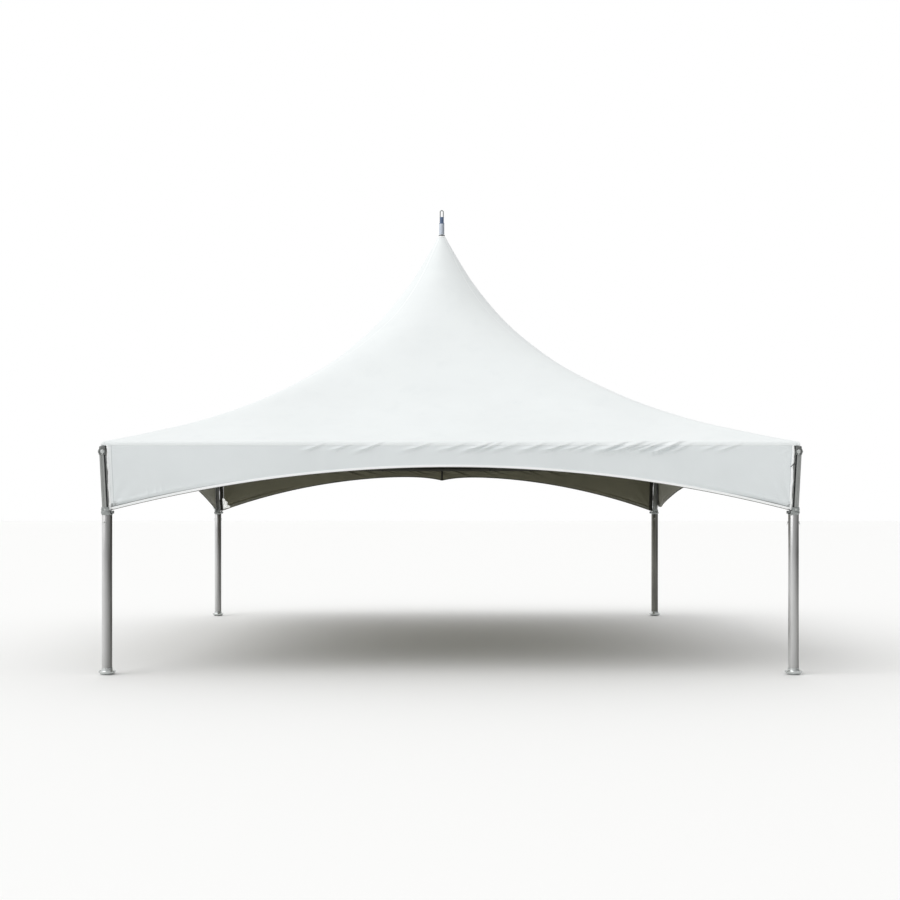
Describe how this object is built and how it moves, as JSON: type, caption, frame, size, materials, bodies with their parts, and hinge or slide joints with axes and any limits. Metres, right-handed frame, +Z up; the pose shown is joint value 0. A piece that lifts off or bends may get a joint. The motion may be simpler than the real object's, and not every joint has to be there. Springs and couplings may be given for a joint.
{
  "type": "high peak marquee tent",
  "caption": "Square high-peak marquee tent: legs, eave frame, flying mast on crossed cables, tensioned fabric roof and arched valances.",
  "frame": {"origin": "on the ground under the mast, at the centre of the tent's plan", "axes": "+Z up, front valance towards -Y, +X to the right seen from the front"},
  "size_m": [6.251, 6.251, 4.895],
  "materials": {
    "cover": "white coated fabric, satin",
    "aluminium": "mill finish tube",
    "profile": "grooved extrusion, mill finish",
    "zinc": "hot-dip galvanised",
    "cast": "cast, dull grey",
    "wire": "galvanised wire rope",
    "blued": "dark blue grey"
  },
  "bodies": {
    "root": {"leg_back_right": "aluminium", "leg_back_left": "aluminium", "leg_front_left": "aluminium", "leg_front_right": "aluminium", "base_plate_back_right": "zinc", "base_plate_back_left": "zinc", "base_plate_front_left": "zinc", "base_plate_front_right": "zinc", "leg_collar_back_right": "zinc", "leg_collar_back_left": "zinc", "leg_collar_front_left": "zinc", "leg_collar_front_right": "zinc", "corner_post_back_right": "profile", "corner_post_back_left": "profile", "corner_post_front_left": "profile", "corner_post_front_right": "profile", "corner_crown_back_right": "cast", "corner_crown_back_left": "cast", "corner_crown_front_left": "cast", "corner_crown_front_right": "cast", "eave_tube_back": "aluminium", "eave_tube_left": "aluminium", "eave_tube_front": "aluminium", "eave_tube_right": "aluminium", "roof_panel_back": "cover", "roof_panel_left": "cover", "roof_panel_front": "cover", "roof_panel_right": "cover", "valance_back": "cover", "valance_left": "cover", "valance_front": "cover", "valance_right": "cover", "mast": "zinc", "mast_foot": "zinc", "mast_head": "cast", "peak_ring": "cast", "lifting_eye": "blued", "turnbuckle_back_right": "zinc", "turnbuckle_back_left": "zinc", "turnbuckle_front_left": "zinc", "turnbuckle_front_right": "zinc", "cable_back_right": "wire", "cable_back_left": "wire", "cable_front_left": "wire", "cable_front_right": "wire"}
  },
  "joints": []
}
